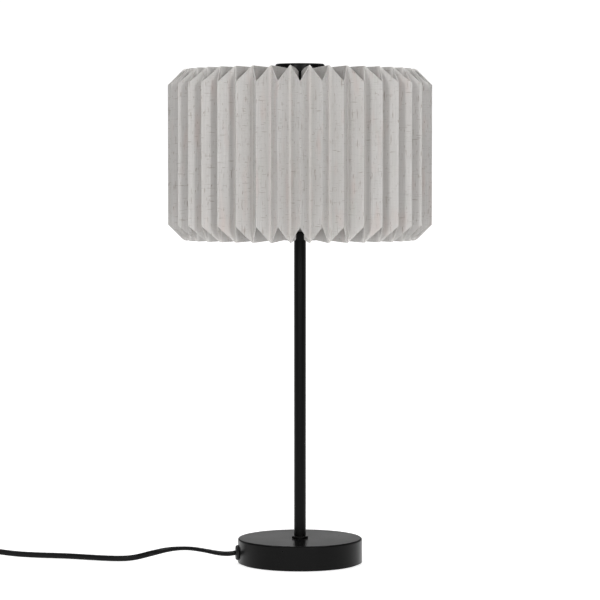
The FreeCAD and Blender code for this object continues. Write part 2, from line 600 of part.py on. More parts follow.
publish("bulb_collar", turned("bulb_collar", [
    ("0", collar_foot), ("bulb_cap_radius + 1", collar_foot),
    ("bulb_cap_radius + 1.6", "bulb_cap_top + 2"), ("bulb_collar_radius", "bulb_collar_top"),
    ("0", "bulb_collar_top")]))


def globe(radius, name):
    """A ball whose lower end is cut level where it sits on the collar."""
    ball = doc.addObject("Part::Sphere", name)
    rise = "sqrt(bulb_radius ^ 2 - (bulb_collar_radius - 0.5) ^ 2)"
    bind(ball, {"Radius": radius, **at(z=f"bulb_collar_top + fit_gap + {rise}")})
    return ball


above = cylinder("globe_room", "bulb_radius * 2", "bulb_radius * 4", z="bulb_collar_top + fit_gap")
publish("bulb_globe", common("bulb_globe", cut(
    "globe_shell", globe("bulb_radius", "globe_outside"),
    globe("bulb_radius - bulb_wall", "globe_inside")), above))

# ---------------------------------------------------------------- lead


def eased_wire(points, name):
    """Straight runs joined by tangent arcs, each as large as its two runs allow."""
    edges, radii, start = [], [], points[0]
    for before, corner, after in zip(points, points[1:], points[2:]):
        arrive, leave = corner - before, after - corner
        back = 0.45 * min(arrive.Length, leave.Length)
        half = arrive.getAngle(leave) / 2
        radius = back / math.tan(half)
        arrive, leave = arrive.normalize(), leave.normalize()
        first, last = corner - arrive * back, corner + leave * back
        middle = corner + (leave - arrive).normalize() * (radius / math.cos(half) - radius)
        edges += [Part.LineSegment(start, first).toShape(), Part.Arc(first, middle, last).toShape()]
        radii.append(radius)
        start = last
    edges.append(Part.LineSegment(start, points[-1]).toShape())
    wire = Part.Wire(edges)
    print(f"{name}: {wire.Length:.1f} mm long, radii", " ".join(f"{r:.0f}" for r in radii))
    return wire


def lead_tube(name, wire, diameter):
    shape = pipe(wire, diameter / 2)
    expected = math.pi * diameter ** 2 / 4 * wire.Length
    print(f"{name}: volume {shape.Volume:.1f}, section times length {expected:.1f}")
    return solid(name, shape)


lead = mm("lead_width")
floor_height = lead / 2
toward_gland = Vector(-math.cos(math.radians(mm("gland_turn"))), -math.sin(math.radians(mm("gland_turn"))), 0)
exit_point = toward_gland * mm("lead_exit") + Vector(0, 0, mm("gland_height"))

inner_points = [exit_point, Vector(0, 0, mm("gland_height")), Vector(0, 0, mm("block_bottom"))]
lead_tube("inner_lead", arc_wire(inner_points, mm("inner_bend_radius")), mm("inner_lead_diameter"))

switch_end = Vector(mm("switch_x") + mm("switch_length") / 2, mm("switch_y"), mm("switch_half_height"))
visible_route = [
    exit_point, exit_point + toward_gland * 15.5, Vector(-96.5, -4, 11.3), Vector(-113, 10, 12),
    Vector(-132.5, 20.5, 11), Vector(-151.5, 18, 7.4), Vector(-168.5, 9.5, 3.4),
    Vector(-186.5, 5.5, floor_height), Vector(-209, 10.5, floor_height),
    Vector(-238, 22, floor_height), Vector(-270, 29.5, floor_height), Vector(-297, 33, 3.6)]
lead_tube("lead_to_switch", eased_wire(visible_route + [switch_end], "lead_to_switch"), lead)

coil_centre = Vector(mm("coil_x"), mm("coil_y"), 0)
coil_left = mm("coil_x") - mm("coil_outer_radius")
coil_entry = Vector(coil_left, mm("coil_y") + lead, mm("coil_rest_height"))
switch_far_end = switch_end - Vector(mm("switch_length"), 0, 0)
link_runs = [(0, 13.6, 0), (22.5, 13.6, -1.1), (45, 13.6, -1.4), (67.5, 14.0, -1.1)]
link_route = [switch_far_end]
for turn, length, fall in link_runs:
    heading = math.radians(180 + turn)
    link_route.append(link_route[-1] + Vector(length * math.cos(heading), length * math.sin(heading), fall))
link_route += [coil_entry + Vector(0, 14, 0), coil_entry]
lead_tube("lead_to_coil", eased_wire(link_route, "lead_to_coil"), lead)


def coil_place(turns_done):
    """A point of the coil's centreline and its heading. It winds in at a steady rate on the lower
    layer, climbs in the half turn round the middle, and winds out again on the upper layer."""
    def spot(done):
        half_way = mm("coil_turns") / 2
        radius = mm("coil_outer_radius") - mm("coil_pitch") * (half_way - abs(done - half_way))
        climb = min(max((done - half_way + 0.25) / 0.5, 0), 1)
        climb = climb * climb * (3 - 2 * climb)
        angle = math.pi + 2 * math.pi * done
        return coil_centre + Vector(radius * math.cos(angle), radius * math.sin(angle),
                                    mm("coil_rest_height") + climb * mm("coil_pitch"))
    tiny = 1e-5
    ahead = spot(min(turns_done + tiny, mm("coil_turns")))
    behind = spot(max(turns_done - tiny, 0))
    return spot(turns_done), (ahead - behind).normalize()


def biarc(start, heading, end, arrival):
    """Two arcs that leave start along heading and reach end along arrival."""
    gap = end - start
    both = heading + arrival
    blunt = 2 * (1 - heading.dot(arrival))
    reach = (-gap.dot(both) + math.sqrt(gap.dot(both) ** 2 + blunt * gap.dot(gap))) / blunt
    first, last = start + heading * reach, end - arrival * reach
    middle = (first + last) * 0.5
    edges = []
    for a, corner, b in ((start, first, middle), (middle, last, end)):
        chord = b - a
        rise = (corner - (a + b) * 0.5)
        half = math.atan2(rise.Length, chord.Length / 2)
        height = chord.Length / 2 * math.tan(half / 2)
        edges.append(Part.Arc(a, (a + b) * 0.5 + rise.normalize() * height, b).toShape())
    return edges


def coil_wire():
    """The coil's centreline, with a straight end one lead width long at each side."""
    quarters = int(4 * mm("coil_turns"))
    places = [coil_place(number / 4) for number in range(quarters + 1)]
    down = Vector(0, -1, 0)
    places[0] = (places[0][0], down)
    places[-1] = (places[-1][0], down)
    edges = [Part.LineSegment(places[0][0] - down * lead, places[0][0]).toShape()]
    for (a, heading), (b, arrival) in zip(places, places[1:]):
        edges += biarc(a, heading, b, arrival)
    edges.append(Part.LineSegment(places[-1][0], places[-1][0] + down * lead).toShape())
    return Part.Wire(edges)


def least_gap(wire, diameter):
    """The least distance between the surfaces of two stretches of the coil that are not
    neighbours along it, measured on points."""
    points = wire.discretize(Number=1500)
    step = wire.Length / (len(points) - 1)
    apart = int(3 * diameter / step)
    return min((a - b).Length for i, a in enumerate(points) for b in points[i + apart:]) - diameter


winding = coil_wire()
print(f"lead_coil: {winding.Length:.1f} mm long, least gap to itself {least_gap(winding, lead):.2f} mm")
lead_tube("lead_coil", winding, lead)
tie_inner = mm("coil_outer_radius") - mm("coil_pitch") * mm("coil_turns") / 2 - lead / 2 - mm("tie_gap")
tie_outer = mm("coil_outer_radius") + lead / 2 + mm("tie_gap")
tie_low = mm("coil_rest_height") - lead / 2 - mm("tie_gap")
tie_high = mm("coil_upper") + lead / 2 + mm("tie_gap")


def coil_tie(angle):
    """A flat strap round the coil's bundle of turns."""
    skin = mm("tie_thickness")
    room = Part.makeBox(tie_outer - tie_inner, mm("tie_width"), tie_high - tie_low,
                        Vector(tie_inner, -mm("tie_width") / 2, tie_low))
    strap = Part.makeBox(tie_outer - tie_inner + 2 * skin, mm("tie_width"), tie_high - tie_low + 2 * skin,
                         Vector(tie_inner - skin, -mm("tie_width") / 2, tie_low - skin))
    strap = strap.cut(room)
    strap.rotate(Vector(0, 0, 0), Vector(0, 0, 1), angle)
    strap.translate(coil_centre)
    return strap


solid("coil_ties", Part.makeCompound([coil_tie(20), coil_tie(-110)]))

coil_exit = Vector(coil_left, mm("coil_y") - lead, mm("coil_upper"))
boot_end = Vector(coil_left, mm("plug_y") + mm("plug_boot_length"), mm("plug_middle"))
third = Vector(0, (coil_exit.y - boot_end.y) / 3, 0)
plug_route = [coil_exit, coil_exit - third, boot_end + third, boot_end]
lead_tube("lead_to_plug", eased_wire(plug_route, "lead_to_plug"), lead)

# ---------------------------------------------------------------- switch on the lead

middle = Vector(mm("switch_x"), mm("switch_y"), 0)
half_height, wall = mm("switch_half_height"), mm("switch_wall")


def rounded_slab(length, width, height, corner, z):
    """A slab with rounded upright edges, centred on the switch."""
    slab = Part.makeBox(length, width, height, middle + Vector(-length / 2, -width / 2, z))
    upright = [e for e in slab.Edges if abs(e.tangentAt(e.FirstParameter).z) > 0.9]
    return slab.makeFillet(corner, upright)


def outer_edges(shape, z):
    return [e for e in shape.Edges if all(abs(v.Z - z) < 1e-6 for v in e.Vertexes)]


length, width, corner = mm("switch_length"), mm("switch_width"), mm("switch_round")
hollow_length, hollow_width = length - 2 * wall, width - 2 * wall
cord_hole = Part.makeCylinder(lead / 2 + mm("fit_gap"), length + 20,
                              middle + Vector(-length / 2 - 10, 0, half_height), Vector(1, 0, 0))
screw_places = [middle + Vector(side * mm("switch_screw_reach"), 0, 0) for side in (-1, 1)]
shells = {}
for name, low, floor in (("lower", 0, wall), ("upper", half_height, half_height)):
    shell = rounded_slab(length, width, half_height - mm("fit_gap") * (name == "lower"), corner, low)
    edge_z = 0 if name == "lower" else 2 * half_height
    edge_round = mm("switch_edge_round") / (2 if name == "lower" else 1)
    shell = shell.makeFillet(edge_round, outer_edges(shell, edge_z))
    hollow = rounded_slab(hollow_length, hollow_width, half_height - wall, corner - wall, floor)
    shells[name] = shell.cut(hollow).cut(cord_hole)
pillar_height = {"lower": (0, half_height - mm("fit_gap")), "upper": (half_height, 2 * half_height - wall)}
for name, (low, high) in pillar_height.items():
    for place, side in zip(screw_places, (-1, 1)):
        for across in (-1, 1):
            spot = place + Vector(0, across * (hollow_width / 2 - 2.6), low)
            shells[name] = shells[name].fuse(Part.makeCylinder(2.9, high - low, spot))
            bore = mm("screw_radius") + mm("fit_gap")
            top = high if name == "lower" else high - 1
            shells[name] = shells[name].cut(Part.makeCylinder(bore, top - low, spot))
            if name == "lower":
                shells[name] = shells[name].cut(Part.makeCylinder(
                    mm("screw_head_radius") - 0.2 + mm("fit_gap"), mm("screw_head_height"), spot))
cavity = rounded_slab(hollow_length - 2, hollow_width, 2 * half_height, corner - wall, 0)
window_length = 2 * (mm("rocker_radius") + mm("rocker_side_gap"))
window_width = mm("rocker_width") + 2 * mm("rocker_side_gap")
window = Part.makeBox(window_length, window_width, 3 * wall,
                      middle + Vector(-window_length / 2, -window_width / 2, 2 * half_height - 2 * wall))
pivot = middle + Vector(0, 0, mm("rocker_pivot"))
ear_start = window_width / 2
for side in (-1, 1):
    start = pivot + Vector(0, ear_start if side > 0 else -ear_start - mm("ear_thickness"), 0)
    ear = Part.makeCylinder(mm("ear_radius"), mm("ear_thickness"), start, Vector(0, 1, 0))
    web = Part.makeBox(2 * mm("ear_radius"), mm("ear_thickness"), 2 * half_height - 1 - mm("rocker_pivot"),
                       start - Vector(mm("ear_radius"), 0, 0))
    shells["upper"] = shells["upper"].fuse(ear.fuse(web))
pin_length = window_width + 2 * mm("ear_thickness") - 0.4
pin_start = pivot - Vector(0, pin_length / 2, 0)
pin_hole = Part.makeCylinder(mm("pin_radius") + mm("fit_gap") / 4, pin_length, pin_start, Vector(0, 1, 0))
solid("switch_lower_shell", shells["lower"])
solid("switch_upper_shell", shells["upper"].cut(window).cut(pin_hole))
solid("rocker_pin", Part.makeCylinder(mm("pin_radius"), pin_length, pin_start, Vector(0, 1, 0)))

switch_screw_solids = []
for place in screw_places:
    for across in (-1, 1):
        spot = place + Vector(0, across * (hollow_width / 2 - 2.6), 0.2)
        head = Part.makeCylinder(mm("screw_head_radius") - 0.2, mm("screw_head_height") - 0.2, spot)
        shank = Part.makeCylinder(mm("screw_radius"), 2 * half_height - wall - 2.6, spot)
        switch_screw_solids.append(head.fuse(shank))
solid("switch_screws", Part.makeCompound(switch_screw_solids))

rocker_profile = [(-9, mm("rocker_end_height") + 0.3), (0, mm("rocker_middle_height")),
                  (9, mm("rocker_end_height") + 0.3), (9, -mm("rocker_depth")), (-9, -mm("rocker_depth"))]
rocker_points = [Vector(x, -mm("rocker_width") / 2, z) for x, z in rocker_profile]
rocker = Part.Face(Part.makePolygon(rocker_points + rocker_points[:1]))
rocker = rocker.extrude(Vector(0, mm("rocker_width"), 0))
rocker = rocker.common(Part.makeCylinder(mm("rocker_radius"), mm("rocker_width"),
                                         Vector(0, -mm("rocker_width") / 2, 0), Vector(0, 1, 0)))
rocker = rocker.cut(Part.makeCylinder(mm("pin_radius") + mm("pin_clearance"), 40, Vector(0, -20, 0),
                                      Vector(0, 1, 0)))
rocker.rotate(Vector(0, 0, 0), Vector(0, 1, 0), -mm("rocker_tilt"))
rocker.translate(pivot)
solid("switch_rocker", rocker)
blades = [Part.makeBox(22, 1.0, 4.0, middle + Vector(-11, side * 4.6 - 0.5, wall + 0.2)) for side in (-1, 1)]
solid("switch_contacts", Part.makeCompound(blades))

# ---------------------------------------------------------------- plug

plug_centre = Vector(coil_left, mm("plug_y"), mm("plug_middle"))


def plug_section(y, width, thickness):
    """A flat hexagon with its corners cut, at one place along the plug."""
    bevel = thickness * 0.32
    corners = [(-width / 2, 0), (-width / 2 + bevel, thickness / 2), (width / 2 - bevel, thickness / 2),
               (width / 2, 0), (width / 2 - bevel, -thickness / 2), (-width / 2 + bevel, -thickness / 2)]
    points = [plug_centre + Vector(x, y, z) for x, z in corners]
    return Part.makePolygon(points + points[:1])


plug = Part.makeLoft([plug_section(0, mm("plug_nose_width") * 0.55, mm("plug_thickness") * 0.86),
                      plug_section(-mm("plug_length") * 0.45, mm("plug_width"), mm("plug_thickness"))], True, True)
plug = plug.fuse(Part.makeLoft([
    plug_section(-mm("plug_length") * 0.45, mm("plug_width"), mm("plug_thickness")),
    plug_section(-mm("plug_length"), mm("plug_nose_width") + 4, mm("plug_thickness") * 0.94)], True, True))
boot = Part.makeCone(mm("plug_boot_radius"), lead / 2 + 0.5, mm("plug_boot_length"), plug_centre - Vector(0, 0, 0),
                     Vector(0, 1, 0))
plug = plug.fuse(boot)
plug_pins = []
for side in (-1, 1):
    face = plug_centre + Vector(side * mm("plug_pin_spacing") / 2, -mm("plug_length"), 0)
    root = Part.makeCylinder(mm("plug_pin_root_radius"), mm("plug_pin_root"), face, Vector(0, 1, 0))
    free = Part.makeCylinder(mm("plug_pin_radius"), mm("plug_pin_length"), face, Vector(0, -1, 0))
    plug = plug.cut(root)
    plug_pins.append(root.fuse(free))
solid("plug_body", plug.removeSplitter())
solid("plug_pins", Part.makeCompound(plug_pins))

# ---------------------------------------------------------------- checks and export

doc.recompute()
for thing in doc.Objects:
    if "Invalid" in thing.State or "Error" in thing.State:
        raise RuntimeError(f"{thing.Label} did not recompute: {thing.State}")
for node in nodes:
    if node.Shape.isNull() or not node.Shape.isValid() or not node.Shape.Solids:
        raise RuntimeError(f"{node.Label} has no valid shape")

os.makedirs("parts", exist_ok=True)
for node in nodes:
    node.Shape.exportStep(f"parts/{node.Label}.step")
    box = node.Shape.BoundBox
    print(f"{node.Label}: {len(node.Shape.Solids)} solid(s), volume {node.Shape.Volume:.0f}, "
          f"z {box.ZMin:.1f} to {box.ZMax:.1f}, x {box.XMin:.1f} to {box.XMax:.1f}")
print(len(nodes), "nodes")
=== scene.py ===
import math

import bmesh
import bpy
from mathutils import Matrix, Vector


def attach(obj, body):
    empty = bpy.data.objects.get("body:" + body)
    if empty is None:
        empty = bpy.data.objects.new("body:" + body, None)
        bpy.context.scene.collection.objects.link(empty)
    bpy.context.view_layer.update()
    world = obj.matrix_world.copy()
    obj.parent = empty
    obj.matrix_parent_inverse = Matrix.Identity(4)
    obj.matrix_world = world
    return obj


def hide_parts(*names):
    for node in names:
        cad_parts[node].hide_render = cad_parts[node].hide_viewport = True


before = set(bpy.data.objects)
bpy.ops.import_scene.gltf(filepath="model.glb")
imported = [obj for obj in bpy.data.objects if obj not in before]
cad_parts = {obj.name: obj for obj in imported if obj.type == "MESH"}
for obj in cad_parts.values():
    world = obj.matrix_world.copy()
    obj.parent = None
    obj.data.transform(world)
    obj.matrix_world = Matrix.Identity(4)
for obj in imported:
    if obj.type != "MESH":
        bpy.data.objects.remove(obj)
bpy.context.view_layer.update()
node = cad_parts

# ---- The viewpoint: a catalogue camera, level with the shade's middle and tipped down a little,
# far enough away that the drum shade shows almost no perspective.
camera_dip = math.radians(2.90)
camera_data = bpy.data.cameras.new("catalogue_camera")
camera_data.sensor_width = 36.0
camera_data.lens = 155.99
camera_data.clip_end = 50.0
camera = bpy.data.objects.new("catalogue_camera", camera_data)
camera.location = (0.0, -2.600, 0.3961)
camera.rotation_euler = (math.radians(90) - camera_dip, 0.0, 0.0)
bpy.context.scene.collection.objects.link(camera)
bpy.context.scene.camera = camera


# ---- The visible lead: flat two-core cable in a black sheath, 5.8 by 3.8 mm, with a waist between
# its cores. It leaves the outlet of the base on the flat, rises in a low arch, comes down to the
# table on edge and lies so up to the switch.
class Signal:
    """A shader socket that can be added, multiplied and mixed like a number."""

    def __init__(self, tree, socket):
        self.tree, self.socket = tree, socket

    def maths(self, operation, *others):
        step = self.tree.nodes.new("ShaderNodeMath")
        step.operation = operation
        for place, value in enumerate((self,) + others):
            self.tree.plug(value, step.inputs[place])
        return Signal(self.tree, step.outputs[0])

    def __add__(self, other):
        return self.maths("ADD", other)

    def __sub__(self, other):
        return self.maths("SUBTRACT", other)

    def __mul__(self, other):
        return self.maths("MULTIPLY", other)

    def __rsub__(self, other):
        return (self * -1.0) + other

    def above(self, low, high):
        """0 below low, 1 above high, and a straight ramp between."""
        step = self.tree.nodes.new("ShaderNodeMapRange")
        self.tree.plug(self, step.inputs["Value"])
        step.inputs["From Min"].default_value = low
        step.inputs["From Max"].default_value = high
        return Signal(self.tree, step.outputs["Result"])


class Finish:
    """A material in the making: a Principled surface and the patterns that feed it. Its plain colour
    and roughness count wherever no pattern is plugged in."""

    def __init__(self, name, colour, roughness, metallic=0.0, **constants):
        self.material = bpy.data.materials.new(name)
        self.material.use_nodes = True
        self.nodes, self.links = self.material.node_tree.nodes, self.material.node_tree.links
        self.shader = self.nodes["Principled BSDF"]
        self.shader.inputs["Base Color"].default_value = (*colour, 1.0)
        self.shader.inputs["Roughness"].default_value = roughness
        self.shader.inputs["Metallic"].default_value = metallic
        for socket, value in constants.items():
            self.shader.inputs[socket.replace("_", " ")].default_value = value
        self.place = self.nodes.new("ShaderNodeTexCoord").outputs["Object"]

    def plug(self, value, socket):
        """Feeds a shader input from a signal, a socket or a plain value."""
        if isinstance(value, Signal):
            self.links.new(value.socket, socket)
        elif isinstance(value, bpy.types.NodeSocket):
            self.links.new(value, socket)
        else:
            socket.default_value = value

    def unwrapped(self, layer):
        """Lays the patterns that follow on a UV map instead of on the object's coordinates."""
        step = self.nodes.new("ShaderNodeUVMap")
        step.uv_map = layer
        self.place = step.outputs["UV"]

    def coordinate(self, axis):
        step = self.nodes.new("ShaderNodeSeparateXYZ")
        self.plug(self.place, step.inputs[0])
        return Signal(self, step.outputs[axis])

    def noise(self, scale, detail=2.0, stretch=(1, 1, 1), roughness=0.5, shift=(0, 0, 0)):
        step = self.nodes.new("ShaderNodeMapping")
        step.inputs["Scale"].default_value = stretch
        step.inputs["Location"].default_value = shift
        self.plug(self.place, step.inputs["Vector"])
        cloud = self.nodes.new("ShaderNodeTexNoise")
        cloud.inputs["Scale"].default_value = scale
        cloud.inputs["Detail"].default_value = detail
        cloud.inputs["Roughness"].default_value = roughness
        self.plug(step.outputs[0], cloud.inputs["Vector"])
        return Signal(self, cloud.outputs["Fac"])

    def mixed(self, amount, first, second):
        """The first colour where the amount is 0 and the second where it is 1."""
        step = self.nodes.new("ShaderNodeMix")
        step.data_type = "RGBA"
        factor, first_colour, second_colour = (step.inputs[place] for place in (0, 6, 7))
        self.plug(amount, factor)
        for value, socket in ((first, first_colour), (second, second_colour)):
            self.plug((*value, 1.0) if isinstance(value, tuple) else value, socket)
        return Signal(self, step.outputs[2])

    def colour(self, value):
        self.plug(value, self.shader.inputs["Base Color"])

    def rough(self, value):
        self.plug(value, self.shader.inputs["Roughness"])

    def glow(self, value):
        self.shader.inputs["Emission Strength"].default_value = 1.0
        self.plug(value, self.shader.inputs["Emission Color"])

    def bump(self, height, distance, strength=1.0):
        step = self.nodes.new("ShaderNodeBump")
        step.inputs["Distance"].default_value = distance
        step.inputs["Strength"].default_value = strength
        self.plug(height, step.inputs["Height"])
        self.plug(step.outputs[0], self.shader.inputs["Normal"])

    def cover(self, *pieces):
        for piece in pieces:
            piece.data.materials.clear()
            piece.data.materials.append(self.material)


def route_line(name, points):
    """The points of a cable's centreline, read from a smooth spline through the route."""
    curve = bpy.data.curves.new(name + "_route", "CURVE")
    curve.dimensions = "3D"
    curve.resolution_u = 8
    spline = curve.splines.new("NURBS")
    spline.points.add(len(points) - 1)
    for place, point in zip(spline.points, points):
        place.co = (*point, 1.0)
    spline.order_u = 3
    spline.use_endpoint_u = True
    holder = bpy.data.objects.new(name + "_route", curve)
    bpy.context.scene.collection.objects.link(holder)
    bpy.context.view_layer.update()
    drawn = bpy.data.meshes.new_from_object(holder)
    line = [vertex.co.copy() for vertex in drawn.vertices]
    bpy.data.objects.remove(holder)
    bpy.data.meshes.remove(drawn)
    return line


def cable_section():
    """The outline of the flat cable, cut square: two round cores side by side, and their waist."""
    core_offset = cable_wide / 2 - cable_thick / 2
    outline = []
    for step in range(points_around):
        angle = 2 * math.pi * step / points_around
        side = math.cos(angle)
        waist = 1 - waist_depth * math.exp(-((side * cable_wide / 2 / waist_reach) ** 2))
        outward = math.copysign(core_offset, side) * min(1, abs(side) * 3) + cable_thick / 2 * side
        outline.append((outward, cable_thick / 2 * math.sin(angle) * waist))
    return outline


def flat_cable(name, line, roll_at):
    """A flat cable along a line. roll_at gives, for the share of the way along, how far its wide
    side is turned up from lying flat."""
    section = cable_section()
    mesh = bmesh.new()
    travelled = [0.0]
    for before, after in zip(line, line[1:]):
        travelled.append(travelled[-1] + (after - before).length)
    rings = []
    for number, point in enumerate(line):
        ahead = line[min(number + 1, len(line) - 1)] - line[max(number - 1, 0)]
        heading = ahead.normalized()
        across = heading.cross(Vector((0, 0, 1))).normalized()
        upward = across.cross(heading)
        roll = roll_at(travelled[number] / travelled[-1])
        wide = across * math.cos(roll) + upward * math.sin(roll)
        thick = heading.cross(wide)
        rings.append([mesh.verts.new(point + wide * a + thick * b) for a, b in section])
    for near, far in zip(rings, rings[1:]):
        for step in range(points_around):
            following = (step + 1) % points_around
            mesh.faces.new((near[step], near[following], far[following], far[step]))
    mesh.faces.new(list(reversed(rings[0])))
    mesh.faces.new(rings[-1])
    bmesh.ops.recalc_face_normals(mesh, faces=mesh.faces)
    data = bpy.data.meshes.new(name)
    mesh.to_mesh(data)
    mesh.free()
    data.shade_smooth()
    piece = bpy.data.objects.new(name, data)
    bpy.context.scene.collection.objects.link(piece)
    return piece


def eased(value, start, end):
    """0 up to start, 1 from end on, and a smooth rise between."""
    share = min(max((value - start) / (end - start), 0.0), 1.0)
    return share * share * (3 - 2 * share)


cable_wide, cable_thick = 0.0058, 0.0038
waist_depth, waist_reach = 0.07, 0.0007
points_around = 20
outlet_turn, outlet_reach, outlet_height = math.radians(187), 0.0651, 0.0110
lead_exit = (outlet_reach * math.cos(outlet_turn), outlet_reach * math.sin(outlet_turn), outlet_height)
switch_near_end = (-0.321, 0.034, 0.0080)
lead_route = [
    lead_exit, (-0.0700, -0.0085, 0.0098), (-0.0810, -0.0094, 0.0104), (-0.0965, -0.0040, 0.0128),
    (-0.1130, 0.0100, 0.0131), (-0.1325, 0.0200, 0.0106), (-0.1515, 0.0175, 0.0064),
    (-0.1685, 0.0080, 0.0031), (-0.1865, 0.0045, 0.0031), (-0.209, 0.0120, 0.0031),
    (-0.238, 0.0235, 0.0031), (-0.270, 0.0290, 0.0031), (-0.297, 0.033, 0.0042), switch_near_end]
lead_line = route_line("lead", lead_route)


def lead_roll(share):
    """Tilted a little at the outlet, flat up to the arch, and on edge from where it lands."""
    outlet_tilt = math.radians(20) * (1 - eased(share, 0.04, 0.13))
    return outlet_tilt + math.radians(90) * eased(share, 0.20, 0.42)


lead = flat_cable("lead", lead_line, lead_roll)
sheath = Finish("black_cable_sheath", (0.004, 0.004, 0.004), 0.42, Specular_IOR_Level=0.14)
sheath_cloud = sheath.noise(260, 3)
sheath.colour(sheath.mixed(sheath_cloud, (0.003, 0.003, 0.0032), (0.006, 0.006, 0.0062)))
sheath.rough(sheath_cloud * 0.16 + 0.34)
sheath.bump(sheath.noise(1500, 2), 0.00004)
sheath.cover(lead, node["inner_lead"])
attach(lead, "stand")
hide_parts("lead_to_switch")

# ---- The rest of the lead, put away as it is in its box: from the switch into a small coil of
# two layers, wound inward and out again, held by soft ties, and on to the plug. It stands on edge
# and lies outside the picture, past its left side.
coil_middle = Vector((-0.385, -0.031, 0.0))
coil_radius, coil_pitch, coil_rounds = 0.0425, 0.0063, 6
coil_low, points_per_round = 0.0042, 16
coil_left = coil_middle.x - coil_radius
coil_lead_in = 0.0198
switch_far_end = (-0.383, 0.034, 0.0080)
rest_route = [switch_far_end]
for turned, run, fall in (
        (0, 0.0136, 0.0), (22.5, 0.0136, 0.0011), (45, 0.0136, 0.0014), (67.5, 0.0140, 0.0011)):
    heading = math.radians(180 + turned)
    x, y, z = rest_route[-1]
    rest_route.append((x + run * math.cos(heading), y + run * math.sin(heading), z - fall))
rest_route.append((coil_left, coil_middle.y + coil_lead_in, coil_low))
half_way = coil_rounds / 2
for step in range(coil_rounds * points_per_round + 1):
    done = step / points_per_round
    radius = coil_radius - coil_pitch * (half_way - abs(done - half_way))
    radius /= math.cos(math.pi / points_per_round) ** 0.5
    height = coil_low + coil_pitch * eased(done, half_way - 0.25, half_way + 0.25)
    angle = math.pi * (1 + 2 * done)
    rest_route.append((coil_middle.x + radius * math.cos(angle),
                       coil_middle.y + radius * math.sin(angle), height))
boot_end = (coil_left, -0.070, 0.0068)
rest_route += [(coil_left, -0.0459, 0.0105), (coil_left, -0.0580, 0.0068), boot_end]
rest_line = route_line("put_away_lead", rest_route)
put_away_lead = flat_cable("put_away_lead", rest_line, lambda share: math.radians(90))
sheath.cover(put_away_lead)
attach(put_away_lead, "stand")
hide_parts("lead_to_coil", "lead_coil", "lead_to_plug")
tie_finish = Finish("soft_tie_plastic", (0.03, 0.03, 0.03), 0.55)
tie_finish.rough(tie_finish.noise(400, 2) * 0.2 + 0.45)
tie_finish.cover(node["coil_ties"])

# ---- The base, the pole, the cap and cup above and below the shade, and the wire carrier and hub
# that hold it: turned, drawn and bent steel with a black powder coat, which has a fine orange peel
# and a soft gloss.
powder_coat = Finish("black_powder_coat", (0.0025, 0.0025, 0.0025), 0.29, Specular_IOR_Level=0.12)
peel = powder_coat.noise(900, 3)
powder_coat.colour(powder_coat.mixed(peel, (0.0015, 0.0015, 0.0015), (0.0035, 0.0035, 0.0035)))
powder_coat.rough(powder_coat.noise(30, 3) * 0.08 + 0.25)
powder_coat.bump(peel, 0.00004, 0.5)
powder_coat.cover(*[node[name] for name in (
    "base_shell", "pole", "pole_collar", "lower_cup", "top_cap", "cap_screw", "shade_carrier",
    "carrier_spigot", "shade_hub")])

# ---- Inside and under the base: a foam pad, a zinc plated plate with its screws, a cast weight and
# the clamp of the lead. The rod, the nuts and the small parts of the switch are zinc plated too.
foam = Finish("foam_pad", (0.035, 0.035, 0.035), 0.95)
foam_cells = foam.noise(1400, 3)
foam.colour(foam.mixed(foam_cells, (0.02, 0.02, 0.02), (0.05, 0.05, 0.05)))
foam.bump(foam_cells, 0.0002)
foam.cover(node["foot_pad"])

zinc = Finish("zinc_plated_steel", (0.62, 0.62, 0.60), 0.34, 1.0)
zinc_cloud = zinc.noise(180, 4)
zinc.colour(zinc.mixed(zinc_cloud, (0.50, 0.50, 0.49), (0.72, 0.72, 0.69)))
zinc.rough(zinc_cloud * 0.25 + 0.25)
zinc.cover(*[node[name] for name in (
    "base_plate", "plate_screws", "gland_nut", "lead_clamp", "clamp_screws", "rod_washer",
    "rod_nut", "pole_rod", "holder_locknut", "rocker_pin", "switch_screws")])

cast_iron = Finish("cast_iron", (0.10, 0.10, 0.10), 0.75, 0.6)
sand = cast_iron.noise(700, 4)
cast_iron.colour(cast_iron.mixed(sand, (0.06, 0.06, 0.06), (0.15, 0.145, 0.14)))
cast_iron.bump(sand, 0.0004)
cast_iron.cover(node["base_weight"])

# ---- The lamp holder: black thermoset dome, sleeve and shade ring around a ceramic block with a
# brass screw shell and contact. The lead's outlet in the base is moulded of the same plastic, and
# the contacts of the switch are brass too.
thermoset = Finish("black_thermoset", (0.012, 0.012, 0.012), 0.38, Specular_IOR_Level=0.25)
thermoset_cloud = thermoset.noise(500, 3)
thermoset.colour(thermoset.mixed(thermoset_cloud, (0.008, 0.008, 0.0085), (0.015, 0.015, 0.0155)))
thermoset.rough(thermoset_cloud * 0.15 + 0.30)
thermoset.cover(*[node[name] for name in (
    "holder_dome", "holder_sleeve", "shade_ring", "cord_gland")])

glaze = Finish("glazed_ceramic", (0.82, 0.80, 0.75), 0.18, Coat_Weight=0.4)
glaze.colour(glaze.mixed(glaze.noise(120, 3), (0.78, 0.76, 0.70), (0.86, 0.85, 0.81)))
glaze.cover(node["contact_block"])

brass = Finish("plain_brass", (0.75, 0.56, 0.25), 0.28, 1.0)
brass_cloud = brass.noise(220, 3)
brass.colour(brass.mixed(brass_cloud, (0.66, 0.48, 0.20), (0.82, 0.64, 0.32)))
brass.rough(brass_cloud * 0.2 + 0.2)
brass.cover(node["socket_shell"], node["centre_contact"], node["switch_contacts"])

